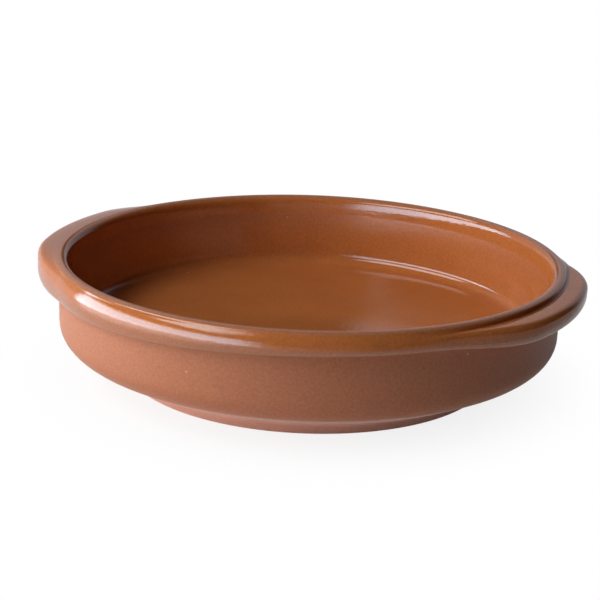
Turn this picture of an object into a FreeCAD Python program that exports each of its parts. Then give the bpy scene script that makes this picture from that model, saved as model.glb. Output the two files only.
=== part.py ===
import FreeCAD, Part
import math
import os

import Sketcher

V = FreeCAD.Vector

# Driving sizes, in mm and degrees.
SIZES = {
    # the whole dish
    "wall_radius": 120.0,        # outside of the upright wall
    "rim_height": 57.5,          # top of the lip above the table
    "floor_height": 21.5,        # inside floor above the table
    "floor_thickness": 7.5,      # clay between the inside floor and the underside
    "floor_inset": 8.8,          # foot of the inside wall inside the wall's outside
    "floor_round": 9.0,          # turn from the inside wall into the floor
    # foot, underside and shoulder
    "foot_inset": 31.0,          # foot ring's outer edge inside the wall's outside
    "foot_width": 7.0,           # width of the foot ring on the table
    "foot_height": 6.5,          # height of the leaning band of the foot
    "foot_flare": 6.5,           # how far that band leans out
    "foot_bevel": 0.9,           # both edges of the foot ring
    "recess_draft": 6.0,         # lean of the recess wall inside the foot
    "recess_bevel": 3.0,         # slope at the top of that recess
    "underside_slope": 27.0,     # rise of the underside from foot to shoulder
    "shoulder_round": 11.0,      # turn from the underside into the wall
    # rolled collar and lip
    "collar_overhang": 4.0,      # collar's widest line outside the wall
    "collar_drop": 6.3,          # widest line below the top of the lip
    "collar_under": 4.2,         # height of the slope under the widest line
    "collar_lean": 20.0,         # how far the collar's face leans in
    "crest_inset": 5.1,          # top of the lip inside the widest line
    "lip_crest_round": 4.5,
    "lip_crest_span": 68.0,      # angle that the crest takes in the section
    "lip_inner_round": 7.0,      # slow roll from the crest into the bowl
    # ears
    "ear_overhang": 12.0,        # ear's outer face outside the wall
    "ear_span": 34.0,            # angle that this face takes in plan
    "ear_corner": 42.0,          # radius at each end of the face in plan
    "ear_blend": 50.0,           # hollow radius that fades the ear into the collar
    "ear_step": 2.4,             # top of the ear below the top of the lip
    "ear_thickness": 10.2,
    "ear_top_bevel": 1.8,
    "ear_under_bevel": 3.0,
    "ear_root_depth": 0.6,       # how far the ear's root lies inside the wall
    "ear_root_width": 2.4,       # band of clay that ties both ears in
}

# Lengths that follow from them, as formulas on the sheet's cells.
ROOT_RADIUS = "Sizes.wall_radius - Sizes.ear_root_depth"
FOOT_RADIUS = "Sizes.wall_radius - Sizes.foot_inset"
UNDERSIDE = "Sizes.floor_height - Sizes.floor_thickness"
SLOPE = "(Sizes.underside_slope * 1 deg)"
SHOULDER_RADIUS = "Sizes.wall_radius - Sizes.shoulder_round"
SHOULDER_HEIGHT = ("Sizes.foot_height + Sizes.shoulder_round * cos(%s) + (Sizes.foot_inset"
                   " - Sizes.foot_flare - Sizes.shoulder_round * (1 - sin(%s))) * tan(%s)"
                   % (SLOPE, SLOPE, SLOPE))
FLOOR_RADIUS = "Sizes.wall_radius - Sizes.floor_inset - Sizes.floor_round"
WIDEST_RADIUS = "Sizes.wall_radius + Sizes.collar_overhang"
WIDEST_HEIGHT = "Sizes.rim_height - Sizes.collar_drop"

# The shoulder and the floor's edge each turn in this many equal steps.
TURN_STEPS = 4


def size_sheet(doc):
    """The driving sizes, one named cell each."""
    sheet = doc.addObject("Spreadsheet::Sheet", "Sizes")
    for row, (name, value) in enumerate(SIZES.items(), start=1):
        sheet.set("A%d" % row, name)
        sheet.set("B%d" % row, repr(value))
        sheet.setAlias("B%d" % row, name)
    doc.recompute()
    return sheet


def new_sketch(body, name, plane):
    """A sketch on one of the body's own origin planes."""
    sketch = body.newObject("Sketcher::SketchObject", name)
    flat = [feature for feature in body.Origin.OriginFeatures if feature.Role == plane]
    sketch.AttachmentSupport = [(flat[0], "")]
    sketch.MapMode = "FlatFace"
    return sketch


def bind(sketch, index, name, formula):
    """Names a constraint and ties it to the sheet."""
    sketch.renameConstraint(index, name)
    sketch.setExpression("Constraints." + name, formula)


def polar(radius, angle):
    return V(radius * math.cos(angle), radius * math.sin(angle), 0)


def arc(center, radius, start, end):
    """An arc that runs anticlockwise from one angle to the other."""
    return Part.ArcOfCircle(Part.Circle(center, V(0, 0, 1), radius), start, end)


def ear_arcs(value):
    """Plan of both ears and the root between them, as arcs that run anticlockwise."""
    origin = V(0, 0, 0)
    reach = value("wall_radius") + value("ear_overhang")
    root = value("wall_radius") - value("ear_root_depth")
    corner = value("ear_corner")
    blend = value("ear_blend")
    half_span = math.radians(value("ear_span")) / 2
    to_corner = reach - corner
    to_blend = root + blend
    cosine = (to_corner ** 2 + to_blend ** 2 - (corner + blend) ** 2) / (2 * to_corner * to_blend)
    fade = half_span + math.acos(cosine)
    across = polar(to_blend, fade) - polar(to_corner, half_span)
    turn = math.atan2(across.y, across.x)
    arcs = []
    for side in (0, math.pi):
        far = side + math.pi
        arcs += [
            arc(origin, reach, side - half_span, side + half_span),
            arc(polar(to_corner, side + half_span), corner, side + half_span, side + turn),
            arc(polar(to_blend, side + fade), blend, far + fade, far + turn),
            arc(origin, root, side + fade, far - fade),
            arc(polar(to_blend, far - fade), blend, side - turn, side - fade),
            arc(polar(to_corner, far - half_span), corner, far - turn, far - half_span),
        ]
    return arcs


def ear_plan(body, value):
    """The ears in plan, one closed outline round the whole dish."""
    sketch = new_sketch(body, "EarPlan", "XY_Plane")
    arcs = ear_arcs(value)
    sketch.addGeometry(arcs, False)
    start, end, center = 1, 2, 3
    joins = []
    for face in (0, 6):
        corner, blend, root, far_blend, far_corner = range(face + 1, face + 6)
        joins += [(face, end, corner, start), (corner, end, blend, end),
                  (blend, start, root, start), (root, end, far_blend, end),
                  (far_blend, start, far_corner, start),
                  (far_corner, end, (face + 6) % len(arcs), start)]
    for first, first_point, second, second_point in joins:
        sketch.addConstraint(
            Sketcher.Constraint("Tangent", first, first_point, second, second_point))
    for about_axis in (0, 3, 6, 9):
        sketch.addConstraint(Sketcher.Constraint("Coincident", about_axis, center, -1, 1))
    for face in (0, 6):
        sketch.addConstraint(Sketcher.Constraint("Symmetric", face, start, face, end, -1))
    for first, same in ((0, (6,)), (3, (9,)), (1, (5, 7, 11)), (2, (4, 8, 10))):
        for other in same:
            sketch.addConstraint(Sketcher.Constraint("Equal", first, other))
    for name, piece, formula in (("reach", 0, "Sizes.wall_radius + Sizes.ear_overhang"),
                                 ("root", 3, ROOT_RADIUS),
                                 ("corner", 1, "Sizes.ear_corner"),
                                 ("blend", 2, "Sizes.ear_blend")):
        index = sketch.addConstraint(Sketcher.Constraint("Radius", piece, arcs[piece].Radius))
        bind(sketch, index, name, formula)
    for name, face in (("span", 0), ("far_span", 6)):
        angle = math.radians(value("ear_span"))
        index = sketch.addConstraint(Sketcher.Constraint("Angle", face, angle))
        bind(sketch, index, name, "Sizes.ear_span * 1 deg")
    sketch.setExpression("AttachmentOffset.Base.z",
                         "Sizes.rim_height - Sizes.ear_step - Sizes.ear_thickness")
    return sketch


def section_corners(value):
    """The sharp corners of the dish's section, each as radius and height."""
    underside = value("floor_height") - value("floor_thickness")
    foot_outer = value("wall_radius") - value("foot_inset")
    foot_inner = foot_outer - value("foot_width")
    recess = foot_inner - underside * math.tan(math.radians(value("recess_draft")))
    widest = value("rim_height") - value("collar_drop")
    return {
        "recess": V(recess, underside, 0),
        "foot_inner": V(foot_inner, 0, 0),
        "foot_outer": V(foot_outer, 0, 0),
        "band": V(foot_outer + value("foot_flare"), value("foot_height"), 0),
        "crease": V(value("wall_radius"), widest - value("collar_under"), 0),
        "widest": V(value("wall_radius") + value("collar_overhang"), widest, 0),
    }


def turn_points(center, size, first, last):
    """Corners of a turn whose short sides all touch one round."""
    step = (last - first) / TURN_STEPS
    reach = size / math.cos(step / 2)
    return [center + polar(reach, first + step * (number + 0.5)) for number in range(TURN_STEPS)]


def turn_formulas(name, center, size, first, last):
    """The same corners as named formulas, each across and up."""
    step = "((%s - %s) / %d)" % (last, first, TURN_STEPS)
    reach = "Sizes.%s / cos(%s / 2)" % (size, step)
    corners = []
    for number in range(TURN_STEPS):
        angle = "(%s + %s * %s)" % (first, step, number + 0.5)
        corners.append(("%s_%d" % (name, number),
                        "%s + %s * cos(%s)" % (center[0], reach, angle),
                        "%s + %s * sin(%s)" % (center[1], reach, angle)))
    return corners


def shoulder_points(value, band):
    """The turn from the sloping underside into the upright wall."""
    slope = math.radians(value("underside_slope"))
    size = value("shoulder_round")
    across = value("wall_radius") - size
    height = (band.y + size * math.cos(slope)
              + (across - band.x + size * math.sin(slope)) * math.tan(slope))
    return turn_points(V(across, height, 0), size, slope - math.pi / 2, 0)


def floor_points(value):
    """The turn from the inside wall into the floor."""
    size = value("floor_round")
    center = V(value("wall_radius") - value("floor_inset") - size,
               value("floor_height") + size, 0)
    return turn_points(center, size, 0, -math.pi / 2)


def lip_arcs(value, widest, wall_foot):
    """Crest of the lip, and the slow roll that follows it into the bowl."""
    lean = math.radians(value("collar_lean"))
    crest, inner = value("lip_crest_round"), value("lip_inner_round")
    crest_center = V(widest.x - value("crest_inset"), value("rim_height") - crest, 0)
    first = lean + math.acos((widest - crest_center).dot(polar(1, lean)) / crest)
    second = first + math.radians(value("lip_crest_span"))
    inner_center = crest_center + polar(crest - inner, second)
    down = wall_foot - inner_center
    last = 2 * math.pi + math.atan2(down.y, down.x) - math.acos(inner / down.Length)
    return [arc(crest_center, crest, first, second), arc(inner_center, inner, second, last)]


def section_pieces(value):
    """Half of the dish's section, anticlockwise from the middle of the underside."""
    corners = section_corners(value)
    floor = floor_points(value)
    lip = lip_arcs(value, corners["widest"], floor[0])
    underside_middle = V(0, corners["recess"].y, 0)
    floor_middle = V(0, value("floor_height"), 0)
    outside = ([underside_middle]
               + [corners[name] for name in ("recess", "foot_inner", "foot_outer", "band")]
               + shoulder_points(value, corners["band"])
               + [corners["crease"], corners["widest"], lip[0].StartPoint])
    inside = [lip[-1].EndPoint] + floor + [floor_middle, underside_middle]
    return ([Part.LineSegment(a, b) for a, b in zip(outside, outside[1:])] + lip
            + [Part.LineSegment(a, b) for a, b in zip(inside, inside[1:])])


def dish_section(body, value):
    """The section as a sketch."""
    sketch = new_sketch(body, "DishSection", "XZ_Plane")
    pieces = section_pieces(value)
    sketch.addGeometry(pieces, False)
    short = TURN_STEPS - 1
    ceiling, recess, foot, band, under = range(5)
    wall, tuck, face, crest, roll, inside = range(under + short + 1, under + short + 7)
    floor, axis = inside + short + 1, inside + short + 2
    start, end, center = 1, 2, 3
    outline = list(range(len(pieces)))
    for first, second in zip(outline, outline[1:] + outline[:1]):
        kind = "Tangent" if first in (crest, roll) else "Coincident"
        sketch.addConstraint(Sketcher.Constraint(kind, first, end, second, start))
    for line in (ceiling, foot):
        sketch.addConstraint(Sketcher.Constraint("Horizontal", line))
    sketch.addConstraint(Sketcher.Constraint("PointOnObject", axis, start, -2))
    sketch.addConstraint(Sketcher.Constraint("PointOnObject", axis, end, -2))
    sketch.addConstraint(Sketcher.Constraint("PointOnObject", foot, start, -1))

    foot_inner = FOOT_RADIUS + " - Sizes.foot_width"
    draft = "(%s) * tan(Sizes.recess_draft * 1 deg)" % UNDERSIDE
    across = [("foot_outer", foot, end, FOOT_RADIUS),
              ("foot_inner", foot, start, foot_inner),
              ("recess_top", ceiling, end, foot_inner + " - " + draft),
              ("band_top", band, end, FOOT_RADIUS + " + Sizes.foot_flare"),
              ("wall_face", wall, end, "Sizes.wall_radius"),
              ("widest", face, start, WIDEST_RADIUS),
              ("crest_line", crest, center, WIDEST_RADIUS + " - Sizes.crest_inset")]
    upward = [("underside", ceiling, start, UNDERSIDE),
              ("band_height", band, end, "Sizes.foot_height"),
              ("floor_level", axis, start, "Sizes.floor_height"),
              ("crease_level", wall, end, WIDEST_HEIGHT + " - Sizes.collar_under"),
              ("widest_level", face, start, WIDEST_HEIGHT),
              ("crest_level", crest, center, "Sizes.rim_height - Sizes.lip_crest_round")]
    shoulder = turn_formulas("shoulder", (SHOULDER_RADIUS, SHOULDER_HEIGHT), "shoulder_round",
                             "(%s - 90 deg)" % SLOPE, "0 deg")
    corner = turn_formulas("floor", (FLOOR_RADIUS, "Sizes.floor_height + Sizes.floor_round"),
                           "floor_round", "0 deg", "-90 deg")
    for line, (name, out, up) in zip(list(range(under, wall)) + list(range(inside, floor)),
                                     shoulder + corner):
        across.append((name + "_out", line, end, out))
        upward.append((name + "_up", line, end, up))
    for kind, places in (("DistanceX", across), ("DistanceY", upward)):
        for name, piece, point, formula in places:
            place = sketch.getPoint(piece, point)
            length = place.x if kind == "DistanceX" else place.y
            index = sketch.addConstraint(Sketcher.Constraint(kind, -1, 1, piece, point, length))
            bind(sketch, index, name, formula)
    for name, piece in (("lip_crest_round", crest), ("lip_inner_round", roll)):
        index = sketch.addConstraint(Sketcher.Constraint("Radius", piece, value(name)))
        bind(sketch, index, name, "Sizes." + name)
    for name, piece, degrees, formula in (
            ("lean", face, 90 + value("collar_lean"), "(90 + Sizes.collar_lean) * 1 deg"),
            ("crest_span", crest, value("lip_crest_span"), "Sizes.lip_crest_span * 1 deg")):
        index = sketch.addConstraint(Sketcher.Constraint("Angle", piece, math.radians(degrees)))
        bind(sketch, index, name, formula)
    return sketch


def level_edges(shape, level):
    """Names of the edges that lie flat at one height."""
    near = 1e-4
    names = []
    for number, edge in enumerate(shape.Edges, start=1):
        box = edge.BoundBox
        if abs(box.ZMin - level) < near and abs(box.ZMax - level) < near:
            names.append("Edge%d" % number)
    return names


def ring_edge(shape, corner):
    """Name of the circle about the dish's axis that a corner of the section makes."""
    near = 1e-3
    for number, edge in enumerate(shape.Edges, start=1):
        curve = edge.Curve
        if not isinstance(curve, Part.Circle) or abs(curve.Radius - corner.x) > near:
            continue
        if (curve.Center - V(0, 0, corner.y)).Length < near:
            return "Edge%d" % number
    raise RuntimeError("no circle of radius %.3f at height %.3f" % (corner.x, corner.y))


def bevel(body, base, name, edges, size):
    """A chamfer whose size is one of the sheet's sizes."""
    feature = body.newObject("PartDesign::Chamfer", name)
    feature.Base = (base, edges)
    feature.setExpression("Size", "Sizes." + size)
    body.Document.recompute()
    return feature


def add_ears(body, value):
    """One rounded plate that carries both ears, hollowed where the dish goes."""
    plate = body.newObject("PartDesign::Pad", "EarPlate")
    plate.Profile = ear_plan(body, value)
    plate.setExpression("Length", "Sizes.ear_thickness")
    body.Document.recompute()
    top = value("rim_height") - value("ear_step")
    edges = level_edges(plate.Shape, top)
    upper = bevel(body, plate, "EarTopBevel", edges, "ear_top_bevel")
    edges = level_edges(upper.Shape, top - value("ear_thickness"))
    bevel(body, upper, "EarUnderBevel", edges, "ear_under_bevel")
    hollow = body.newObject("PartDesign::SubtractiveCylinder", "Hollow")
    hollow.setExpression("Radius", ROOT_RADIUS + " - Sizes.ear_root_width")
    hollow.setExpression("Height", "Sizes.rim_height")
    body.Document.recompute()


def add_dish(body, value):
    """Foot, underside, wall, collar and lip in one turn of the section."""
    section = dish_section(body, value)
    dish = body.newObject("PartDesign::Revolution", "Dish")
    dish.Profile = section
    dish.ReferenceAxis = (section, ["V_Axis"])
    dish.Angle = 360
    body.Document.recompute()
    return dish


def ease_corners(body, dish, value):
    """The edges of the foot and its recess that a sponge leaves soft."""
    corners = section_corners(value)
    last = dish
    for name, size, rings in (("FootBevel", "foot_bevel", ("foot_outer", "foot_inner")),
                              ("RecessBevel", "recess_bevel", ("recess",))):
        edges = [ring_edge(last.Shape, corners[ring]) for ring in rings]
        last = bevel(body, last, name, edges, size)


def make_cazuela(doc, sheet):
    """One piece of fired clay: dish, foot, rolled rim and two ears."""
    def value(name):
        return float(sheet.get(name))

    body = doc.addObject("PartDesign::Body", "Cazuela")
    body.Label = "cazuela"
    add_ears(body, value)
    ease_corners(body, add_dish(body, value), value)
    return body


def check_document(doc, body):
    """Stops if anything in the document failed or the piece isn't one valid solid."""
    for item in doc.Objects:
        if "Invalid" in item.State or "Error" in item.State:
            raise RuntimeError("%s: %s" % (item.Name, item.State))
    shape = body.Shape
    if shape.isNull() or not shape.isValid() or len(shape.Solids) != 1:
        raise RuntimeError("%s is not one valid solid" % body.Label)


def main():
    doc = FreeCAD.newDocument("Cazuela")
    sheet = size_sheet(doc)
    body = make_cazuela(doc, sheet)
    doc.recompute()
    check_document(doc, body)
    os.makedirs("parts", exist_ok=True)
    body.Shape.exportStep("parts/%s.step" % body.Label)
    print("%s: %.1f cm3 of clay" % (body.Label, body.Shape.Volume / 1000))


main()
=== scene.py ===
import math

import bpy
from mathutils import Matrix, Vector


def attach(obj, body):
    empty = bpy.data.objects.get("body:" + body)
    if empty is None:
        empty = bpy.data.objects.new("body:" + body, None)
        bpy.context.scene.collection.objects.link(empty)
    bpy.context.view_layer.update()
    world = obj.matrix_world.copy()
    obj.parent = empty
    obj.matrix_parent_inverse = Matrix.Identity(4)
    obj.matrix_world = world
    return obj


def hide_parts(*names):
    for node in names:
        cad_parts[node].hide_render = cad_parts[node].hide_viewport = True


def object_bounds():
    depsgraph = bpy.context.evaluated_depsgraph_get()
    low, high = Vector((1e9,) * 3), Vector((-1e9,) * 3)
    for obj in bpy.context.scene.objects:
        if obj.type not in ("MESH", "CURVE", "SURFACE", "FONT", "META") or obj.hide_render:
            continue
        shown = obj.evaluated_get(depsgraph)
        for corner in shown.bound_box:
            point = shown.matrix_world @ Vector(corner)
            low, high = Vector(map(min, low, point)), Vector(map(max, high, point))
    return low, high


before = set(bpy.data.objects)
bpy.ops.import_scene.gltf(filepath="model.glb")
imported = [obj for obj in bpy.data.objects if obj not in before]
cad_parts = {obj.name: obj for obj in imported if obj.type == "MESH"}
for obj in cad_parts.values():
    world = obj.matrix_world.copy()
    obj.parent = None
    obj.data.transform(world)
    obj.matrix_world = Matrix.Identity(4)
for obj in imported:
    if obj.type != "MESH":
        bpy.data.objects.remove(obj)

# %% [markdown]
# # A glazed cazuela
# A cazuela is a shallow dish of red earthenware that goes on a hob or in an oven and then
# to the table. It is one piece of fired clay: a potter turns the dish on a wheel, rolls the
# rim outwards, and draws two ears out of that rim. A clear, amber glaze covers it.
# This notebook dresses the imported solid: it turns a smooth dish with Geometry Nodes, gives
# it clay and glaze, and sets it in a plain white studio.

cad_low, cad_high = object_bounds()
MM = 0.001
print("solid, mm:", [round(value / MM, 1) for value in cad_high - cad_low])

# %% [markdown]
# ## The camera
# The photograph looks down on the dish by about seventeen degrees, with the right ear turned
# towards the lens. The place, the turn and the small roll below were found by fitting the
# dish's outline. A camera's matrix holds its right, up and backward directions as columns,
# so three directions are enough to set it, and no constraint is left in the file.

# %% Place the camera
EAR_TURN = math.radians(22.3)       # the ears' line, seen from above, against the picture plane
LOOK_DOWN = math.radians(17.446)
ROLL = math.radians(2.022)
EYE = Vector((-4.453, -649.049, 236.634)) * MM   # before the turn, with the view along +Y
LENS = 84.0
SENSOR = 36.0

turn = Matrix.Rotation(EAR_TURN, 3, "Z")
across = Vector((1, 0, 0))
ahead = Vector((0, math.cos(LOOK_DOWN), -math.sin(LOOK_DOWN)))
above = Vector((0, math.sin(LOOK_DOWN), math.cos(LOOK_DOWN)))
right = turn @ (across * math.cos(ROLL) + above * math.sin(ROLL))
up = turn @ (above * math.cos(ROLL) - across * math.sin(ROLL))
back = turn @ -ahead

camera_data = bpy.data.cameras.new("studio_camera")
camera_data.lens = LENS
camera_data.sensor_width = SENSOR
camera = bpy.data.objects.new("studio_camera", camera_data)
bpy.context.scene.collection.objects.link(camera)
facing = Matrix((right, up, back)).transposed().to_4x4()
camera.matrix_world = Matrix.Translation(turn @ EYE) @ facing
bpy.context.scene.camera = camera
print("camera at, mm:", [round(value / MM) for value in camera.location])

# %% [markdown]
# ## The section
# A turned dish is known by its section, the cut from the middle to the rim. The potter shapes
# only this line, and the wheel does the rest. Here the line is drawn four times with the same
# number of points: through the plain rolled collar, through the narrow step where an ear
# begins, through an ear that has the lip's groove above it, and through an ear whose top runs
# level into the lip. Blending them gives every cut between, and the dish in the photograph,
# which is hand-made, has both kinds of ear. A wet sponge and the glaze soften each corner of
# the clay, so the drawn lines are smoothed as well.

# %% Sizes of the dish, in millimetres
WALL = 120.0              # outside of the upright wall
RIM = cad_high.z / MM     # top of the lip
FLOOR = 21.2              # inside of the bowl
UNDERSIDE = 14.0          # of the floor, inside the foot ring
FLOOR_EDGE = 110.8        # where the bowl's side would meet the floor without its round
FLOOR_ROUND = 5.4
FOOT = 89.0               # outer edge of the foot ring
FOOT_WIDTH = 7.0
FOOT_HEIGHT = 6.5
FOOT_FLARE = 6.5
FOOT_ROUND = 1.2
RECESS_RADIUS = 80.5      # of the hollow inside the foot ring
RECESS_ROUND = 4.0
SLOPE = math.radians(27)  # of the shoulder, between the foot and the wall
SHOULDER_ROUND = 11.0
COVE_ROUND = 5.0
CREST = cad_high.y / MM - 5.1      # radius of the top line of the lip
SOFT = 0.3                # how far sponge and glaze soften a corner
print("lip, mm:", round(RIM, 2), "high, its top line", round(CREST, 2), "from the axis")

# %% Sizes of the rolled collar and the ears
# Each arc has a radius and the tilt at its end. A negative radius is a hollow.
OUTER_ROLL = ((4.2, 30), (1.4, 66), (-2.2, 50), (9.8, 84), (2.85, 165))
INNER_ROLL = ((3.6, -62), (4.8, -82.5))
EAR = cad_high.x / MM - 0.15       # outer face of an ear
EAR_TOP = RIM - 2.5
EAR_BOTTOM = RIM - 12.9
EAR_TOP_ROUND = 3.0
EAR_UNDER_ROUND = 4.5
FLUSH_ROUND = 60.0        # a level ear's top leaves the lip in this slow curve
FLUSH_TILT = 8
LAND = 124.3              # outer edge of the narrow step where an ear begins
LAND_ROUND = 1.6
LAND_DROP = 0.1           # the step's corner, below the ear's top
GROOVE = 0.35             # hollow line between the lip and the top of an ear
GROOVE_OUT = 0.3          # its bottom, outside the lip
GROOVE_SIDE = 1.5         # width of the slope from its bottom up to the ear's top
CREASE_DROP = 0.3         # the crease under the collar, below the end of the roll
WALL_TOP = 38.0           # the four cuts part company at this height of the wall
print("ear, mm:", round(EAR, 2), "from the axis,", round(EAR_TOP - EAR_BOTTOM, 2), "thick")


# %% Helpers that draw a section line
def arc(center, radius, start, end, steps=16):
    """Points on an arc, angles in degrees, as (radius from the axis, height)."""
    turns = [math.radians(start + (end - start) * step / steps) for step in range(steps + 1)]
    return [(center[0] + radius * math.cos(a), center[1] + radius * math.sin(a)) for a in turns]


def rolled(start, arcs):
    """Arcs strung from the lip's top line, each smooth with the last, and the joins between."""
    points, joins, tilt = [start], [start], 0
    for radius, last in arcs:
        x, z = points[-1]
        t = math.radians(tilt)
        center = (x - radius * math.sin(t), z - radius * math.cos(t))
        points += arc(center, radius, 90 - tilt, 90 - last)[1:]
        joins.append(points[-1])
        tilt = last
    return points, joins


def rounded(before, corner, after, radius, steps=12):
    """Points of a round that replaces a corner."""
    point = Vector(corner)
    one, two = Vector(before) - point, Vector(after) - point
    one.normalize()
    two.normalize()
    half = one.angle(two) / 2
    middle = point + (one + two).normalized() * (radius / math.sin(half))
    first = point + one * (radius / math.tan(half)) - middle
    start = math.atan2(first.y, first.x)
    sweep = math.pi - 2 * half
    if one.x * two.y - one.y * two.x > 0:
        sweep = -sweep
    return arc(middle, radius, math.degrees(start), math.degrees(start + sweep), steps)


# %% Helpers that space and soften its points
def spread(points, count, turn_weight=0.0):
    """The line with `count` points, even in length or drawn towards its turns."""
    costs = [0.0]
    for number, (a, b) in enumerate(zip(points, points[1:])):
        cost = math.dist(a, b)
        if turn_weight and 0 < number < len(points) - 2:
            before, after = points[number - 1], points[number + 2]
            first = math.atan2(b[1] - before[1], b[0] - before[0])
            second = math.atan2(after[1] - a[1], after[0] - a[0])
            cost += turn_weight * abs(math.remainder(second - first, math.tau))
        costs.append(costs[-1] + cost)
    line, piece = [], 0
    for step in range(count):
        along = costs[-1] * step / (count - 1)
        while piece < len(costs) - 2 and costs[piece + 1] < along:
            piece += 1
        share = (along - costs[piece]) / ((costs[piece + 1] - costs[piece]) or 1.0)
        line.append(tuple(a + (b - a) * share for a, b in zip(points[piece], points[piece + 1])))
    return line


def softened(points, reach, spacing=0.1):
    """The line with every corner eased over about `reach`, its two ends kept."""
    length = sum(math.dist(a, b) for a, b in zip(points, points[1:]))
    line = spread(points, round(length / spacing))
    for _ in range(round(2 * (reach / spacing) ** 2)):
        middle = [((a[0] + 2 * b[0] + c[0]) / 4, (a[1] + 2 * b[1] + c[1]) / 4)
                  for a, b, c in zip(line, line[1:], line[2:])]
        line = [line[0]] + middle + [line[-1]]
    return line


# %% Draw the section below the rim
def below_rim(top):
    """Underside, foot, shoulder and wall, up to a height on the wall."""
    shoulder = FOOT_HEIGHT + (WALL - FOOT - FOOT_FLARE) * math.tan(SLOPE)
    ring = FOOT - FOOT_WIDTH
    flare = FOOT + FOOT_FLARE
    return ([(0.0, UNDERSIDE)]
            + rounded((0, UNDERSIDE), (RECESS_RADIUS, UNDERSIDE), (ring, 0), RECESS_ROUND)
            + rounded((RECESS_RADIUS, UNDERSIDE), (ring, 0), (FOOT, 0), FOOT_ROUND)
            + rounded((ring, 0), (FOOT, 0), (flare, FOOT_HEIGHT), FOOT_ROUND)
            + rounded((FOOT, 0), (flare, FOOT_HEIGHT), (WALL, shoulder), COVE_ROUND)
            + rounded((flare, FOOT_HEIGHT), (WALL, shoulder), (WALL, RIM), SHOULDER_ROUND)
            + [(WALL, top)])


lower = below_rim(WALL_TOP)
print("lower section:", len(lower), "points, up to", lower[-1])

# %% Draw the rim, cut four ways
outer, outer_joins = rolled((CREST, RIM), OUTER_ROLL)
inner = rolled((CREST, RIM), INNER_ROLL)[0]
lip_foot, face_low = outer_joins[2], outer_joins[4]
crease = (WALL, outer[-1][1] - CREASE_DROP)
groove = (lip_foot[0] + GROOVE_OUT, EAR_TOP - GROOVE)
outer.reverse()
lip = outer.index(lip_foot)

through_collar = [(WALL, WALL_TOP), crease] + outer[:lip]
through_step = ([(WALL, WALL_TOP), crease] + outer[:outer.index(face_low)]
                + rounded(face_low, (LAND, EAR_TOP - LAND_DROP), (groove[0], EAR_TOP), LAND_ROUND)
                + [groove])
under_ear = ([(WALL, WALL_TOP), (WALL, EAR_BOTTOM)]
             + rounded((WALL, EAR_BOTTOM), (EAR, EAR_BOTTOM), (EAR, RIM), EAR_UNDER_ROUND))
through_ear = (under_ear
               + rounded((EAR, EAR_BOTTOM), (EAR, EAR_TOP), (WALL, EAR_TOP), EAR_TOP_ROUND)
               + [(groove[0] + GROOVE_SIDE, EAR_TOP), groove])
flush = rolled((CREST, RIM), ((FLUSH_ROUND, FLUSH_TILT),))[0]
fall = (EAR - flush[-1][0]) * math.tan(math.radians(FLUSH_TILT))
flush_edge = (EAR, flush[-1][1] - fall)
through_flush = (under_ear + rounded((EAR, EAR_BOTTOM), flush_edge, flush[-1], EAR_TOP_ROUND)
                 + flush[::-1])
print("widest, mm:", round(max(r for r, z in outer), 2), "crease:", crease)

# %% Join each whole line and soften it
over_lip = outer[lip:] + inner[1:]
inside = rounded(inner[-1], (FLOOR_EDGE, FLOOR), (0, FLOOR), FLOOR_ROUND) + [(0.0, FLOOR)]
plain = softened(lower + through_collar + over_lip + inside, SOFT)
stepped = softened(lower + through_step + over_lip + inside, SOFT)
eared = softened(lower + through_ear + over_lip + inside, SOFT)
level_eared = softened(lower + through_flush + inner[1:] + inside, SOFT)
print("section points before thinning:", len(plain), len(stepped), len(eared), len(level_eared))

# %% [markdown]
# The four lines need the same number of points in each stretch, so that a point on the plain
# roll knows where it goes on the step and on the ear. Each line is cut at matching marks: the
# top of the shared wall, the crease under the rim, the widest line, the inner edge of the
# ear's top, and the crest of the lip. Points gather where the line turns, because a glossy
# highlight shows every facet there and none on a flat stretch.

# %% Give the sections matching points
TURN_WEIGHT = 14.0        # millimetres of line that one radian of turning counts for
COUNTS = (62, 8, 24, 26, 16, 62)     # points in the stretches, from the underside to the floor


def nearest(line, mark):
    """Index of the point of the line nearest to a mark."""
    return min(range(len(line)), key=lambda number: math.dist(line[number], mark))


def matched(line, marks):
    """The line cut at the marks, each stretch with its own count of points."""
    cuts = [0] + [nearest(line, mark) for mark in marks] + [len(line) - 1]
    points = []
    for start, end, count in zip(cuts, cuts[1:], COUNTS):
        points += spread(line[start:end + 1], count, TURN_WEIGHT)[:-1]
    return points + [line[-1]]


on_wall, on_crest = (WALL, WALL_TOP), (CREST, RIM)
on_ear_face = (EAR, EAR_TOP - 5.0)
on_level_top = (CREST + 4.0, RIM - 0.14)
collar_marks = [on_wall, crease, face_low, lip_foot, on_crest]
ear_marks = [on_wall, (WALL, EAR_BOTTOM), on_ear_face, lip_foot, on_crest]
flush_marks = [on_wall, (WALL, EAR_BOTTOM), on_ear_face, on_level_top, on_crest]
plain_cut = matched(plain, collar_marks)
step_cut = matched(stepped, collar_marks)
ear_cut = matched(eared, ear_marks)
flush_cut = matched(level_eared, flush_marks)
print("points in each section:", len(plain_cut), len(step_cut), len(ear_cut), len(flush_cut))
print("lowest, mm:", round(min(z for r, z in plain_cut), 3))

# %% [markdown]
# The mesh below is only a string of points, the plain section. The other three ride on it as
# attributes. Two more attributes say how far down the ear a point lies, because an ear's belly
# reaches further round than its top, and how much of the collar's hang it takes. A rolled rim
# of wet clay sags a little before it is dry, and this one hangs lower at the front left.

# %% Put the sections into one mesh
HANG_FROM, HANG_ALL = 51.5, 48.0     # the collar's face begins to hang, and hangs in full


def hang_of(r, z):
    """A point's share of the hang, which grows down the face and dies out down the wall."""
    if r < CREST or z < WALL_TOP:
        return 0.0
    if z < crease[1]:
        return (z - WALL_TOP) / (crease[1] - WALL_TOP)
    return max(0.0, min(1.0, (HANG_FROM - z) / (HANG_FROM - HANG_ALL)))


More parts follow.
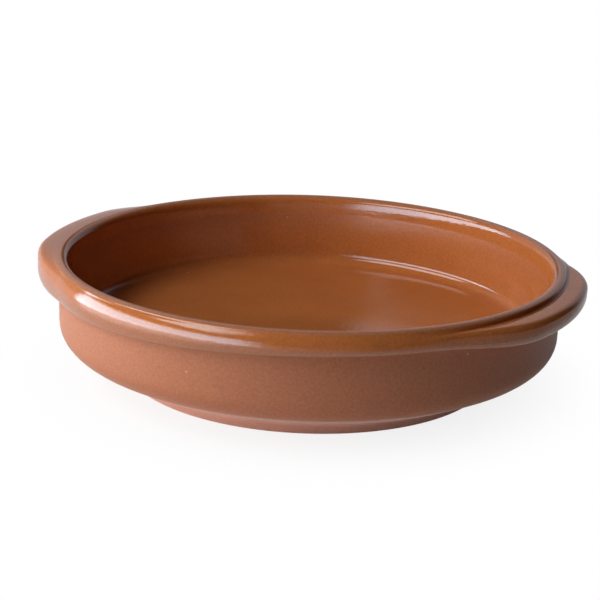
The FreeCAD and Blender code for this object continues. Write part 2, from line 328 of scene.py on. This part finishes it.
section = bpy.data.meshes.new("cazuela_section")
section.from_pydata([(r * MM, 0, z * MM) for r, z in plain_cut], [], [])
for name, cut in (("step_cut", step_cut), ("ear_cut", ear_cut), ("flush_cut", flush_cut)):
    places = section.attributes.new(name, "FLOAT_VECTOR", "POINT")
    places.data.foreach_set("vector", [v for r, z in cut for v in (r * MM, 0, z * MM)])
hang = section.attributes.new("hang", "FLOAT", "POINT")
hang.data.foreach_set("value", [hang_of(r, z) for r, z in plain_cut])
reach = section.attributes.new("reach", "FLOAT", "POINT")
EAR_HEIGHT = EAR_TOP - EAR_BOTTOM
reach.data.foreach_set("value", [min(1.0, max(0.0, (EAR_TOP - z) / EAR_HEIGHT))
                                 for r, z in ear_cut])
print("section's attributes:", [attribute.name for attribute in section.attributes])

# %% [markdown]
# ## Turning the dish
# Spin or Screw could turn one line, but an ear needs the line to change as it goes round, so
# a small tree of Geometry Nodes does the wheel's work. A grid has one column for each step
# round and one row for each point of the section. Each grid point looks up its row in the
# four sections, blends them by how far it is from the middle of an ear, and moves to its
# place round the axis. The tree's inputs are the angles at which one section gives way to
# the next, so another dish of the kind is a change of numbers.

# %% Helpers for the tree
tree = bpy.data.node_groups.new("turned_on_the_wheel", "GeometryNodeTree")


def tree_input(name, kind, value=None, lowest=None):
    """A named input of the tree."""
    socket = tree.interface.new_socket(name=name, in_out="INPUT", socket_type=kind)
    if value is not None:
        socket.default_value = value
    if lowest is not None:
        socket.min_value = lowest
    return socket


def add(group, kind, feeds=(), **settings):
    """A node with its settings, fed in order by sockets or plain values."""
    node = group.nodes.new(kind)
    for name, value in settings.items():
        setattr(node, name, value)
    for slot, feed in (feeds.items() if isinstance(feeds, dict) else enumerate(feeds)):
        if isinstance(feed, bpy.types.NodeSocket):
            group.links.new(feed, node.inputs[slot])
        elif feed is not None:
            node.inputs[slot].default_value = feed
    return node


def calc(group, operation, *feeds):
    """The result of one piece of arithmetic."""
    return add(group, "ShaderNodeMath", feeds, operation=operation).outputs[0]


def eased(group, value, start, end, low=0.0, high=1.0):
    """A soft step from `low` to `high`, as a value goes from `start` to `end`."""
    return add(group, "ShaderNodeMapRange", [value, start, end, low, high],
               interpolation_type="SMOOTHSTEP").outputs[0]


# %% Name the tree's inputs
STEPS = 400               # columns round the dish
WOBBLE = 0.0005           # metres
tree_input("Section", "NodeSocketGeometry")
steps_socket = tree_input("Steps round", "NodeSocketInt", STEPS, 12)
for name, degrees in (("Ear is full to", 14), ("Ear top fades by", 36), ("Ear belly fades by", 40),
                      ("Step is full to", 28), ("Step fades by", 50), ("Ears sit forward by", 4.5),
                      ("Groove lies towards", -20), ("Left ear runs on by", 8),
                      ("Left ear runs on towards", 215), ("Collar hangs towards", 222)):
    tree_input(name, "NodeSocketFloat", math.radians(degrees))
tree_input("Collar hangs by", "NodeSocketFloat", 0.0043)
wobble_socket = tree_input("Hand wobble", "NodeSocketFloat", WOBBLE)
tree_input("Seed", "NodeSocketFloat", 3.0)
finish_socket = tree_input("Finish", "NodeSocketMaterial")
tree.interface.new_socket(name="Dish", in_out="OUTPUT", socket_type="NodeSocketGeometry")
size_given = {socket.name: socket for socket in tree.nodes.new("NodeGroupInput").outputs}
print("inputs of the tree:", [name for name in size_given if name])

# %% Number the grid's rows and columns
size = add(tree, "GeometryNodeAttributeDomainSize", [size_given["Section"]], component="MESH")
rows = size.outputs["Point Count"]
columns = calc(tree, "ADD", size_given["Steps round"], 1)
grid = add(tree, "GeometryNodeMeshGrid", [1.0, 1.0, columns, rows])
index = tree.nodes.new("GeometryNodeInputIndex").outputs[0]
row = calc(tree, "FLOORED_MODULO", index, rows)
column = calc(tree, "FLOOR", calc(tree, "DIVIDE", calc(tree, "ADD", index, 0.5), rows))
share_round = calc(tree, "DIVIDE", column, size_given["Steps round"])
angle = calc(tree, "MULTIPLY", share_round, math.tau)
print("nodes so far:", len(tree.nodes))


# %% Look the sections up
def looked_up(attribute, kind):
    """A value of the section's point with this row's number."""
    sample = add(tree, "GeometryNodeSampleIndex", data_type=kind, domain="POINT")
    if attribute == "position":
        source = tree.nodes.new("GeometryNodeInputPosition").outputs[0]
    else:
        named = add(tree, "GeometryNodeInputNamedAttribute", [attribute], data_type=kind)
        source = named.outputs["Attribute"]
    tree.links.new(size_given["Section"], sample.inputs["Geometry"])
    tree.links.new(source, sample.inputs["Value"])
    tree.links.new(row, sample.inputs["Index"])
    return sample.outputs[0]


plain_point = looked_up("position", "FLOAT_VECTOR")
step_point = looked_up("step_cut", "FLOAT_VECTOR")
ear_point = looked_up("ear_cut", "FLOAT_VECTOR")
flush_point = looked_up("flush_cut", "FLOAT_VECTOR")
low_share = looked_up("reach", "FLOAT")
hang_share = looked_up("hang", "FLOAT")
print("nodes so far:", len(tree.nodes))

# %% [markdown]
# An angle folded by its sine is nought at both ears and a quarter turn between them, so one
# blend makes both. The two ears sit a little forward of a straight line, the left one fades
# out later at its front, and only the right one keeps the groove, which dies away round the
# dish. All of it is what a hand leaves in clay, and all of it shows in the photograph.

# %% Blend the sections round the dish
LEFT_FRONT = 0.82         # cosine of the angle within which the left ear runs on
GROOVE_ENDS, GROOVE_FULL = math.cos(math.radians(48)), math.cos(math.radians(32))


def facing_to(direction):
    """The cosine of the angle between a place on the dish and a direction, one of the inputs."""
    return calc(tree, "COSINE", calc(tree, "SUBTRACT", angle, size_given[direction]))


def faded(value, start, end, first, second):
    """A point that moves from one section to the next as a value changes."""
    blend = add(tree, "ShaderNodeMix", data_type="VECTOR")
    for slot, feed in (("Factor", eased(tree, value, start, end)), (4, first), (5, second)):
        tree.links.new(feed, blend.inputs[slot])
    return blend.outputs[1]


forward = calc(tree, "MULTIPLY", size_given["Ears sit forward by"], calc(tree, "COSINE", angle))
from_ears = calc(tree, "SINE", calc(tree, "ADD", angle, forward))
folded = calc(tree, "ARCSINE", calc(tree, "ABSOLUTE", from_ears))
wide = calc(tree, "SUBTRACT", size_given["Ear belly fades by"], size_given["Ear top fades by"])
fades_by = calc(tree, "ADD", size_given["Ear top fades by"],
                calc(tree, "MULTIPLY", wide, low_share))
runs_on = add(tree, "ShaderNodeMapRange", [facing_to("Left ear runs on towards"), LEFT_FRONT, 1.0,
                                           0.0, size_given["Left ear runs on by"]])
fades_by = calc(tree, "ADD", fades_by, runs_on.outputs[0])
by_groove = facing_to("Groove lies towards")
some_step = faded(by_groove, GROOVE_ENDS, GROOVE_FULL, plain_point, step_point)
some_ear = faded(by_groove, GROOVE_ENDS, GROOVE_FULL, flush_point, ear_point)
with_step = faded(folded, size_given["Step fades by"], size_given["Step is full to"],
                  plain_point, some_step)
with_ear = faded(folded, fades_by, size_given["Ear is full to"], with_step, some_ear)
place = add(tree, "ShaderNodeSeparateXYZ", [with_ear])
radius, height = place.outputs[0], place.outputs[2]
print("nodes so far:", len(tree.nodes))

# %% Let the collar hang at the front left
HANG_ENDS, HANG_FULL = math.radians(80), math.radians(14)    # from its middle
from_hang = calc(tree, "ARCCOSINE", facing_to("Collar hangs towards"))
hangs = calc(tree, "MULTIPLY", eased(tree, from_hang, HANG_ENDS, HANG_FULL), hang_share)
drop = calc(tree, "MULTIPLY", hangs, size_given["Collar hangs by"])
height = calc(tree, "SUBTRACT", height, drop)
print("nodes so far:", len(tree.nodes))

# %% [markdown]
# No wheel-thrown dish is quite round. The wobble only ever pulls the wall in and the rim down,
# so the dish stays inside the size of its solid. It is noise on the unit circle, so its two
# ends meet without a step. It dies out at the axis, so that the floor's middle stays closed.

# %% Wobble
HEIGHT_STRETCH = 9.0      # how fast the noise changes with height
PULL_SCALE, SINK_SCALE = 1.6, 1.1
SINK_SEED = 11.0

around_at = [calc(tree, "COSINE", angle), calc(tree, "SINE", angle)]
circle = add(tree, "ShaderNodeCombineXYZ",
             around_at + [calc(tree, "MULTIPLY", height, HEIGHT_STRETCH)])
in_noise = add(tree, "ShaderNodeTexNoise",
               {"Vector": circle.outputs[0], "W": size_given["Seed"],
                "Scale": PULL_SCALE, "Detail": 1.0}, noise_dimensions="4D")
pull = calc(tree, "MULTIPLY", in_noise.outputs[0], size_given["Hand wobble"])
pull = calc(tree, "MULTIPLY", pull, calc(tree, "DIVIDE", radius, WALL * MM))
radius = calc(tree, "SUBTRACT", radius, pull)
down_noise = add(tree, "ShaderNodeTexNoise",
                 {"Vector": circle.outputs[0], "W": SINK_SEED,
                  "Scale": SINK_SCALE, "Detail": 0.0}, noise_dimensions="4D")
up_and_out = calc(tree, "MULTIPLY", calc(tree, "DIVIDE", height, RIM * MM),
                  calc(tree, "DIVIDE", radius, WALL * MM))
sink = calc(tree, "MULTIPLY", down_noise.outputs[0], size_given["Hand wobble"])
height = calc(tree, "SUBTRACT", height, calc(tree, "MULTIPLY", sink, up_and_out))
print("nodes so far:", len(tree.nodes))

# %% Place each point round the axis, and finish the tree
SAME_POINT = 0.00002      # metres: closes the seam and the two middles
around = add(tree, "ShaderNodeCombineXYZ",
             [calc(tree, "MULTIPLY", radius, turned) for turned in around_at] + [height])
moved = add(tree, "GeometryNodeSetPosition",
            {"Geometry": grid.outputs[0], "Position": around.outputs[0]})
closed = add(tree, "GeometryNodeMergeByDistance",
             {"Geometry": moved.outputs[0], "Distance": SAME_POINT})
smooth = add(tree, "GeometryNodeSetShadeSmooth", {"Geometry": closed.outputs[0]})
whole = add(tree, "GeometryNodeRealizeInstances", {"Geometry": smooth.outputs[0]})
finished = add(tree, "GeometryNodeSetMaterial",
               {"Geometry": whole.outputs[0], "Material": size_given["Finish"]})
result = tree.nodes.new("NodeGroupOutput")
tree.links.new(finished.outputs[0], result.inputs[0])
print("nodes in the tree:", len(tree.nodes))

# %% [markdown]
# ## Clay and glaze
# Red clay shows through a clear, iron-amber glaze. Over the lip and the lower band of the rim the
# clay is painted pinker and paler: a painted reflection of the pale room on the lip, and of the
# white floor on the band. Inside, the glaze is as smooth as glass, while the outside of the wall
# has less of it and only a satin shine. The foot is bare, pale and dull, and its clay is painted
# paler still, as painted light bounced up from the floor. One Principled shader does it, with
# its own gloss as the glaze, and the changes come from the place on the dish (Object
# coordinates), so they stay on the clay when the dish is turned.

# %% Start the finish
glaze = bpy.data.materials.new("glazed_clay")
glaze.use_nodes = True
paint = glaze.node_tree
paint.nodes.clear()
surface = paint.nodes.new("ShaderNodeBsdfPrincipled")
output = paint.nodes.new("ShaderNodeOutputMaterial")
paint.links.new(surface.outputs[0], output.inputs["Surface"])
here = paint.nodes.new("ShaderNodeTexCoord").outputs["Object"]
split = add(paint, "ShaderNodeSeparateXYZ", [here])
level = split.outputs[2]
flat = add(paint, "ShaderNodeCombineXYZ", [split.outputs[0], split.outputs[1], 0.0])
from_axis = add(paint, "ShaderNodeVectorMath", [flat.outputs[0]],
                operation="LENGTH").outputs["Value"]
print("nodes so far:", len(paint.nodes))


# %% Helpers for the finish
def ramp(value, start, end):
    """A soft step of a value between two places, in millimetres."""
    return eased(paint, value, start * MM, end * MM)


def cloud(scale, detail):
    """Soft noise, with a scale in marks to the metre."""
    return add(paint, "ShaderNodeTexNoise", {"Vector": here, "Scale": scale,
                                             "Detail": detail, "Roughness": 0.55}).outputs[0]


def both_of(first, second):
    """The product of two shares."""
    return calc(paint, "MULTIPLY", first, second)


def colours(factor, first, second):
    """A mix of two colours."""
    mixed = add(paint, "ShaderNodeMix", data_type="RGBA")
    for number, feed in ((0, factor), (6, first), (7, second)):
        if isinstance(feed, bpy.types.NodeSocket):
            paint.links.new(feed, mixed.inputs[number])
        else:
            mixed.inputs[number].default_value = feed
    return mixed.outputs[2]


def linear(red, green, blue):
    """A colour given in the usual 0 to 255 steps."""
    parts = [v / 255 for v in (red, green, blue)]
    return tuple(v / 12.92 if v <= 0.04045 else ((v + 0.055) / 1.055) ** 2.4
                 for v in parts) + (1.0,)


# %% Where the glaze is thick or thin, and where reflection and floor light are painted
OUTSIDE = (112, 116)               # radii, inside and outside of the wall
UNDER_COLLAR = (48.5, 47.5)        # heights, from the collar down to the wall
COLLAR_OUT = (120.1, 121.2)        # radii, from the wall out to the collar
# The collar's lower band is painted paler, as a painted reflection of the white floor.
BAND_REFLECTION = (51, 49.5)             # heights of the collar's lower, paler band
# The lip's top is painted paler, as a painted reflection of the pale room.
LIP_REFLECTION = (RIM - 1.9, RIM - 0.6)  # heights
BARE_FOOT = (17, 10)               # heights
FOOT_INNER = (60, 62)              # radii: further in, the underside is glazed

outside = ramp(from_axis, *OUTSIDE)
below_collar = both_of(ramp(level, *UNDER_COLLAR), ramp(from_axis, *reversed(COLLAR_OUT)))
wall_share = both_of(outside, below_collar)
lip_reflection_share = ramp(level, *LIP_REFLECTION)
band_reflection_share = both_of(ramp(from_axis, *COLLAR_OUT), ramp(level, *BAND_REFLECTION))
foot_and_bounce_share = both_of(ramp(level, *BARE_FOOT), ramp(from_axis, *FOOT_INNER))
print("nodes so far:", len(paint.nodes))

# %% Colours of clay and glaze
AMBER = linear(202, 117, 62)
BROWN = linear(180, 101, 54)
# Pale pink painted on the lip and the band, as a painted reflection.
PAINTED_REFLECTION_PINK = linear(178, 114, 84)
WALL_CLAY = linear(184, 112, 79)
# Bare clay of the foot, painted paler still as painted light bounced up from the floor.
FOOT_CLAY_AND_BOUNCE = linear(238, 174, 150)
DRIFT_SCALE = 38          # slow drift between amber and brown, in marks to the metre
REFLECTION_STRENGTH = 0.8          # how strong the painted reflection is on the lip and the band

drifting = colours(cloud(DRIFT_SCALE, 4), AMBER, BROWN)
with_wall = colours(wall_share, drifting, WALL_CLAY)
# Painted reflections: the pale room on the lip, the white floor on the collar's lower band.
with_band_reflection = colours(both_of(band_reflection_share, REFLECTION_STRENGTH), with_wall, PAINTED_REFLECTION_PINK)
with_lip_reflection = colours(both_of(lip_reflection_share, REFLECTION_STRENGTH), with_band_reflection, PAINTED_REFLECTION_PINK)
# The bare foot, its colour also painted light from the floor's bounce.
with_foot_and_bounce = colours(foot_and_bounce_share, with_lip_reflection, FOOT_CLAY_AND_BOUNCE)
print("amber, linear:", [round(part, 3) for part in AMBER])

# %% [markdown]
# Close to, the clay has a fine grain of lighter and darker sand, and here and there a speck
# where a pinhole in the glaze shows pale clay. Noise scales the colour a little up and down
# for the grain. Voronoi cells make the specks: each cell has a middle, and only some cells,
# picked by their own random colour, show it.

# %% Grain and specks
GRAIN_SCALE = 850         # grains to the metre
GRAIN_DARK, GRAIN_LIGHT = 0.9, 1.1
SPECK = linear(226, 170, 128)
SPECK_CELLS = 58.0        # cells to the metre
SPECK_SIZE = 0.028        # share of a cell
SPECK_CHOSEN = 0.62       # cells whose random red is above this have a speck
SPECK_SHARE = 0.8

sandy = add(paint, "ShaderNodeMapRange",
            [cloud(GRAIN_SCALE, 2), 0.3, 0.7, GRAIN_DARK, GRAIN_LIGHT]).outputs[0]
with_grain = add(paint, "ShaderNodeVectorMath", {"Vector": with_foot_and_bounce, "Scale": sandy},
                 operation="SCALE").outputs[0]
cells = add(paint, "ShaderNodeTexVoronoi", {"Vector": here, "Scale": SPECK_CELLS})
cell_red = add(paint, "ShaderNodeSeparateColor", [cells.outputs["Color"]]).outputs[0]
speck = both_of(calc(paint, "LESS_THAN", cells.outputs["Distance"], SPECK_SIZE),
                calc(paint, "GREATER_THAN", cell_red, SPECK_CHOSEN))
with_specks = colours(both_of(speck, SPECK_SHARE), with_grain, SPECK)
paint.links.new(with_specks, surface.inputs["Base Color"])
print("nodes so far:", len(paint.nodes))

# %% Shine, and the fine ripple of the glaze
GLOSSY, SATIN, DULL = 0.07, 0.42, 0.7          # roughness in the bowl, on the wall, on the foot
BOWL_SHINE, WALL_SHINE = 0.5, 0.25             # strength of the shine
SKINS = ((420, 2, 0.7), (1300, 1, 0.2))        # scale, detail and share of the glaze's ripples
WALL_SKIN = (2600, 2, 0.2)                     # the same of the wall's own grain

satin = add(paint, "ShaderNodeMapRange", [wall_share, 0.0, 1.0, GLOSSY, SATIN]).outputs[0]
roughness = add(paint, "ShaderNodeMapRange", [foot_and_bounce_share, 0.0, 1.0, satin, DULL]).outputs[0]
paint.links.new(roughness, surface.inputs["Roughness"])
surface.inputs["IOR"].default_value = 1.52
shine = add(paint, "ShaderNodeMapRange", [wall_share, 0.0, 1.0, BOWL_SHINE, WALL_SHINE])
paint.links.new(shine.outputs[0], surface.inputs["Specular IOR Level"])
rippled, skin = [both_of(cloud(scale, detail), share) for scale, detail, share in SKINS]
grain = both_of(both_of(cloud(*WALL_SKIN[:2]), WALL_SKIN[2]), wall_share)
bumps = calc(paint, "ADD", calc(paint, "ADD", rippled, skin), grain)
relief = add(paint, "ShaderNodeBump", {"Strength": 0.32, "Distance": 0.0002, "Height": bumps})
paint.links.new(relief.outputs[0], surface.inputs["Normal"])
print("nodes in the finish:", len(paint.nodes))

# %% [markdown]
# ## From the wheel to a plain mesh
# The tree runs as a modifier on the section. Its inputs are set by their identifiers before it
# is first evaluated. The result is then copied into a mesh of its own and the modifier comes
# off, so that the plain mesh is exactly what is seen.

# %% Turn the dish, and keep it as a plain mesh
dish = bpy.data.objects.new("cazuela_dressed", section)
bpy.context.scene.collection.objects.link(dish)
turning = dish.modifiers.new("Wheel", "NODES")
turning.node_group = tree
turning[finish_socket.identifier] = glaze
turning[steps_socket.identifier] = STEPS
turning[wobble_socket.identifier] = WOBBLE

seen = dish.evaluated_get(bpy.context.evaluated_depsgraph_get())
dish_mesh = bpy.data.meshes.new_from_object(seen)
dish.modifiers.remove(turning)
dish_mesh.name = "cazuela_dressed"
dish.data = dish_mesh
print("dish: points", len(dish_mesh.vertices), "faces", len(dish_mesh.polygons))

# %% [markdown]
# A closed shell has no edge with one face, and its faces look outwards, or the glaze would
# shade from the wrong side. The seam and the two middles were merged in the tree, so the
# normals can be worked out afresh here, and the volume's sign shows which way they point.

# %% Check that it is closed and looks outwards
import bmesh

shell = bmesh.new()
shell.from_mesh(dish_mesh)
bmesh.ops.recalc_face_normals(shell, faces=shell.faces)
if shell.calc_volume(signed=True) < 0:
    bmesh.ops.reverse_faces(shell, faces=shell.faces)
open_edges = sum(1 for edge in shell.edges if len(edge.link_faces) != 2)
volume = shell.calc_volume(signed=True) * 1e6
print("volume, cm3:", round(volume, 1), "open edges:", open_edges)
shell.to_mesh(dish_mesh)
shell.free()
low = [min(v.co[i] for v in dish_mesh.vertices) / MM for i in range(3)]
high = [max(v.co[i] for v in dish_mesh.vertices) / MM for i in range(3)]
print("dish box, mm:", [round(v, 2) for v in low], [round(v, 2) for v in high])

# %% Tell the frame what it stands for
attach(dish, "root")
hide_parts("cazuela")
print("the dish rides on root and stands for cazuela")

# %% [markdown]
# ## The studio
# The dish was photographed on a white sweep. The floor and the room look white to the camera
# through Light Path, and the floor keeps a little of the dish's own shadow. That white adds no
# light to the dish. Reflections matter more than light on a glaze: near the dish they show
# a pale table, but the table is narrow, and past its edge they go on to the soft boxes.


# %% White sweep
def sheet_of(name, corners):
    """A flat sheet of the studio, as a staged object."""
    mesh = bpy.data.meshes.new(name)
    mesh.from_pydata(corners, [], [(0, 1, 2, 3)])
    sheet = bpy.data.objects.new(name, mesh)
    bpy.context.scene.collection.objects.link(sheet)
    return sheet


CLEAR_FROM, CLEAR_TO = 0.07, 0.15      # metres from the axis, where the floor turns pure white
TABLE_EDGE = (0.2, 0.26)               # metres from the axis, where reflections look past it


def seen_white(name, in_glaze, pale, shadow):
    """A pale surface: white to the camera, and near the dish a share of white in reflections."""
    paper = bpy.data.materials.new(name)
    paper.use_nodes = True
    group = paper.node_tree
    group.nodes.clear()
    path = group.nodes.new("ShaderNodeLightPath")
    spot = group.nodes.new("ShaderNodeTexCoord").outputs["Object"]
    away = add(group, "ShaderNodeVectorMath", [spot], operation="LENGTH").outputs["Value"]
    clear = eased(group, away, CLEAR_FROM, CLEAR_TO, 1.0 - shadow, 1.0)
    for_eye = calc(group, "MULTIPLY", path.outputs["Is Camera Ray"], clear)
    for_gloss = calc(group, "MULTIPLY", path.outputs["Is Glossy Ray"], in_glaze)
    shadowed = add(group, "ShaderNodeBsdfDiffuse", [(pale, pale, pale, 1)])
    glow = add(group, "ShaderNodeEmission", [(1, 1, 1, 1), 1.0])
    mixed = add(group, "ShaderNodeMixShader", [calc(group, "MAXIMUM", for_eye, for_gloss),
                                               shadowed.outputs[0], glow.outputs[0]])
    beyond = calc(group, "MULTIPLY", eased(group, away, *TABLE_EDGE),
                  path.outputs["Is Glossy Ray"])
    nothing = group.nodes.new("ShaderNodeBsdfTransparent")
    past = add(group, "ShaderNodeMixShader", [beyond, mixed.outputs[0], nothing.outputs[0]])
    end = group.nodes.new("ShaderNodeOutputMaterial")
    group.links.new(past.outputs[0], end.inputs["Surface"])
    return paper


HALF = 3.0                # half the sweep's width, in metres
floor = sheet_of("studio_floor",
                 [(-HALF, -HALF, 0), (HALF, -HALF, 0), (HALF, HALF, 0), (-HALF, HALF, 0)])
floor.data.materials.append(seen_white("white_sweep", in_glaze=0.35, pale=0.92, shadow=0.18))
print("floor, m:", 2 * HALF)

# %% [markdown]
# Two long soft boxes on the left overlap, so that their highlight on the collar is one streak,
# and a third stands higher and lights the bowl over the rim. A real soft box has a cloth that
# grows dim towards its frame. A lamp in Cycles is flat and even, so its own nodes fade each
# edge, by Parametric, which runs from 0 to 1 across the lamp.

# %% Soft boxes
COOL = (0.9, 0.97, 1.0)


def towards(azimuth, elevation):
    """A direction from the dish, seen from the camera: 0 is behind the dish, 90 is right."""
    a, e = math.radians(azimuth), math.radians(elevation)
    return turn @ Vector((math.sin(a) * math.cos(e), math.cos(a) * math.cos(e), math.sin(e)))


def soft_box(name, azimuth, elevation, distance, width, height, power, fades):
    """A rectangular lamp that looks at the dish and grows dim towards its edges.

    `fades` holds the share of the width or height that each edge takes to fade. For a box
    on the left these are the edges behind the dish, on the camera's side, below and above.
    """
    lamp = bpy.data.lights.new(name, "AREA")
    lamp.shape = "RECTANGLE"
    lamp.size, lamp.size_y = width, height
    lamp.energy = power
    lamp.color = COOL
    lamp.use_nodes = True
    group = lamp.node_tree
    group.nodes.clear()
    spread_over = group.nodes.new("ShaderNodeNewGeometry").outputs["Parametric"]
    sides = add(group, "ShaderNodeSeparateXYZ", [spread_over])
    strength = 1.0
    for side, (near, far) in ((0, fades[:2]), (1, fades[2:])):
        for start, end in ((0.0, near), (1.0, 1.0 - far)):
            soft = eased(group, sides.outputs[side], start, end)
            strength = calc(group, "MULTIPLY", soft, strength)
    lit = add(group, "ShaderNodeEmission", {"Strength": strength})
    end = group.nodes.new("ShaderNodeOutputLight")
    group.links.new(lit.outputs[0], end.inputs["Surface"])
    holder = bpy.data.objects.new(name, lamp)
    bpy.context.scene.collection.objects.link(holder)
    direction = towards(azimuth, elevation)
    spot = direction * distance + Vector((0, 0, 0.03))
    aimed = direction.to_track_quat("Z", "Y").to_matrix().to_4x4()
    holder.matrix_world = Matrix.Translation(spot) @ aimed
    print(name, "stands at, m:", [round(value, 2) for value in spot])


soft_box("left_soft_box", -96, 4, 1.2, 1.386, 1.0, 17.0, (0.12, 0.35, 0.3, 0.1))
soft_box("front_left_soft_box", -132, 4, 1.3, 1.3, 1.1, 11.0, (0.37, 0.5, 0.3, 0.1))
soft_box("upper_soft_box", -110, 48, 1.2, 1.5, 0.5, 15.0, (0.15, 0.3, 0.1, 0.2))

# %% [markdown]
# ## What the glaze sees
# A glossy thing shows the room it stands in. The world holds three rooms: white for the
# camera, almost dark for the light on the dish, and one for reflections. That last one has
# a pale wall behind the dish with a dark doorway in it, a low glow along the table, and the
# bright cloth of the soft boxes on the left, for the first reflection only.

# %% Start the room
room = bpy.data.worlds.new("dim_room")
bpy.context.scene.world = room
room.use_nodes = True
sky = room.node_tree
sky.nodes.clear()
rays = sky.nodes.new("ShaderNodeLightPath")
compass = sky.nodes.new("ShaderNodeTexCoord").outputs["Generated"]
climb = add(sky, "ShaderNodeSeparateXYZ", [compass]).outputs[2]


def sky_step(value, start, end, low=0.0, high=1.0):
    """A soft step across the room."""
    return eased(sky, value, start, end, low, high)


def seen_along(azimuth):
    """How far a direction in the room points to one side, from -1 to 1."""
    return add(sky, "ShaderNodeVectorMath", [compass, tuple(towards(azimuth, 0))],
               operation="DOT_PRODUCT").outputs["Value"]


behind = seen_along(-10)
sideways = seen_along(90)
onwards = seen_along(0)
bearing = calc(sky, "ARCTAN2", sideways, onwards)
print("nodes of the room so far:", len(sky.nodes))

# %% The pale wall with its doorway, and the low glow
WALL_BRIGHT = 0.45
past_doorway = calc(sky, "MAXIMUM", sky_step(sideways, -0.10, -0.14),
                    sky_step(sideways, 0.03, 0.05))
past_doorway = calc(sky, "MAXIMUM", past_doorway, sky_step(climb, 0.36, 0.42))
pale_wall = calc(sky, "MULTIPLY", sky_step(behind, 0.4, 0.7), sky_step(climb, 0.85, 0.7))
pale_wall = calc(sky, "MULTIPLY", pale_wall, past_doorway)
lower_right = calc(sky, "MULTIPLY", sky_step(sideways, 0.3, 0.5), 0.25)
low_climb = calc(sky, "ADD", climb, lower_right)
low_glow = calc(sky, "MULTIPLY", sky_step(low_climb, 0.2, 0.08),
                sky_step(sideways, -0.8, 0.4, 0.9, 0.3))
glaze_light = calc(sky, "MAXIMUM", calc(sky, "MULTIPLY", pale_wall, WALL_BRIGHT), low_glow)
print("nodes of the room so far:", len(sky.nodes))

# %% The soft boxes' cloth
LILAC = (0.56, 0.86, 1.12, 1.0)
CLOTH_BRIGHT = 5.5
CLOTH_BEHIND = [math.radians(degrees) for degrees in (-62, -68)]       # its edges' bearings
CLOTH_FRONT = [math.radians(degrees) for degrees in (-166, -148)]
CLOTH_BOTTOM, CLOTH_TOP = (-0.15, -0.11), (0.36, 0.32)
cloth_width = calc(sky, "MULTIPLY", sky_step(bearing, *CLOTH_BEHIND),
                   sky_step(bearing, *CLOTH_FRONT))
cloth_height = calc(sky, "MULTIPLY", sky_step(climb, *CLOTH_BOTTOM), sky_step(climb, *CLOTH_TOP))
cloth = calc(sky, "MULTIPLY", cloth_width, cloth_height)
first_only = calc(sky, "LESS_THAN", rays.outputs["Glossy Depth"], 1.5)
cloth = calc(sky, "MULTIPLY", cloth, first_only)
print("nodes of the room so far:", len(sky.nodes))

# %% Join the three rooms
for_camera = add(sky, "ShaderNodeBackground", [(1, 1, 1, 1), 1.0])
for_dish = add(sky, "ShaderNodeBackground", [(1, 0.985, 0.97, 1), 0.03])
for_glaze = add(sky, "ShaderNodeBackground", [(1, 0.93, 1.0, 1), glaze_light])
for_cloth = add(sky, "ShaderNodeBackground", [LILAC, calc(sky, "MULTIPLY", cloth, CLOTH_BRIGHT)])
in_glaze = add(sky, "ShaderNodeAddShader", [for_glaze.outputs[0], for_cloth.outputs[0]])
in_room = add(sky, "ShaderNodeMixShader", [rays.outputs["Is Glossy Ray"], for_dish.outputs[0],
                                           in_glaze.outputs[0]])
choice = add(sky, "ShaderNodeMixShader", [rays.outputs["Is Camera Ray"], in_room.outputs[0],
                                          for_camera.outputs[0]])
sky_out = sky.nodes.new("ShaderNodeOutputWorld")
sky.links.new(choice.outputs[0], sky_out.inputs["Surface"])
bpy.context.scene.view_settings.view_transform = "Standard"
print("nodes of the room:", len(sky.nodes))
